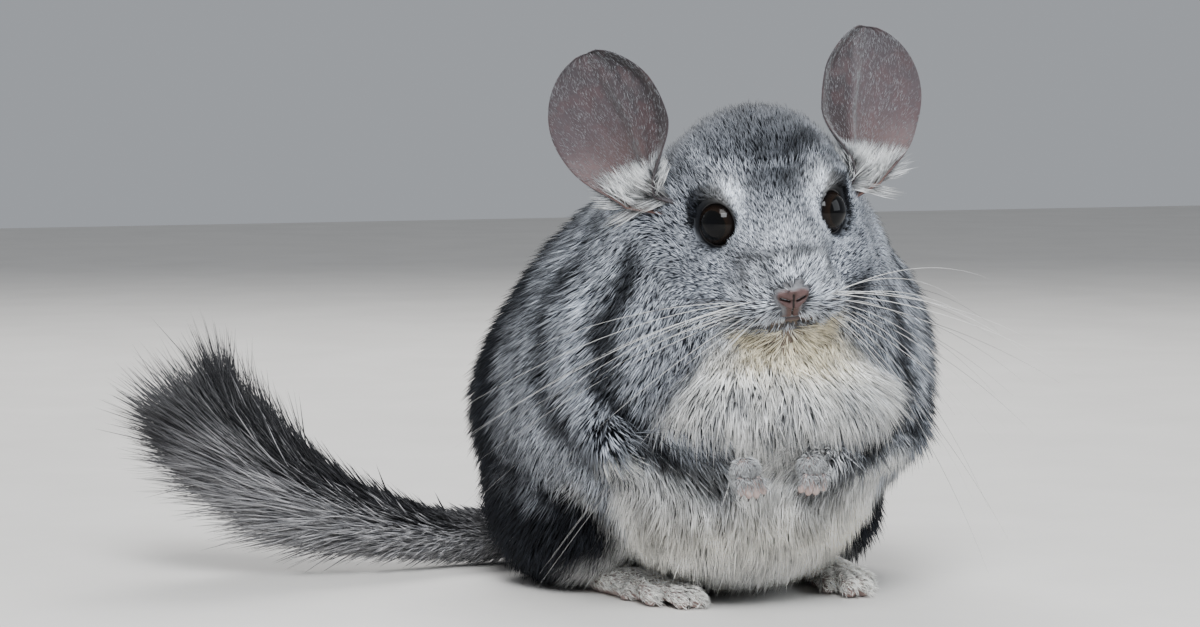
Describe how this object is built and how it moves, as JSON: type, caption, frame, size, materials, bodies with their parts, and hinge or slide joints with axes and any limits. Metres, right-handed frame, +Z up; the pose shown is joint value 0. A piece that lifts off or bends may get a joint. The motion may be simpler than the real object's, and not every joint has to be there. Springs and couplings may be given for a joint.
{
  "type": "chinchilla model",
  "caption": "Life-size still model of a grey chinchilla sitting up with forepaws at its chest, large round ears, and a bushy tail laid to its right",
  "frame": {"origin": "on the floor, in the middle of the flat that the rump sits on", "axes": "+Z up, -Y the way the body faces, +X the animal's left, along which the part is longest because the tail lies to its right"},
  "size_m": [0.2497, 0.2043, 0.1851],
  "materials": {
    "grey_fur": "dense soft fur, grey ticked with white and slate",
    "white_fur": "dense soft fur, white to cream",
    "dark_fur": "dense soft fur, blue-black",
    "tail_fur": "long coarse hair, grey below and black above",
    "ear_skin": "thin bare skin with fine pale hairs",
    "paw_skin": "pinkish skin under short white hair",
    "eye": "wet gloss, brown-black"
  },
  "bodies": {
    "root": {"torso": "grey_fur", "neck": "grey_fur", "head": "grey_fur", "upper_arm_right": "grey_fur", "upper_arm_left": "grey_fur", "forearm_right": "white_fur", "forearm_left": "white_fur", "haunch_right": "dark_fur", "haunch_left": "dark_fur", "tail_root": "tail_fur", "tail_brush": "tail_fur", "ear_right": "ear_skin", "ear_left": "ear_skin", "forepaw_right": "paw_skin", "forepaw_left": "paw_skin", "hindfoot_right": "paw_skin", "hindfoot_left": "paw_skin", "eye_right": "eye", "eye_left": "eye"}
  },
  "joints": []
}
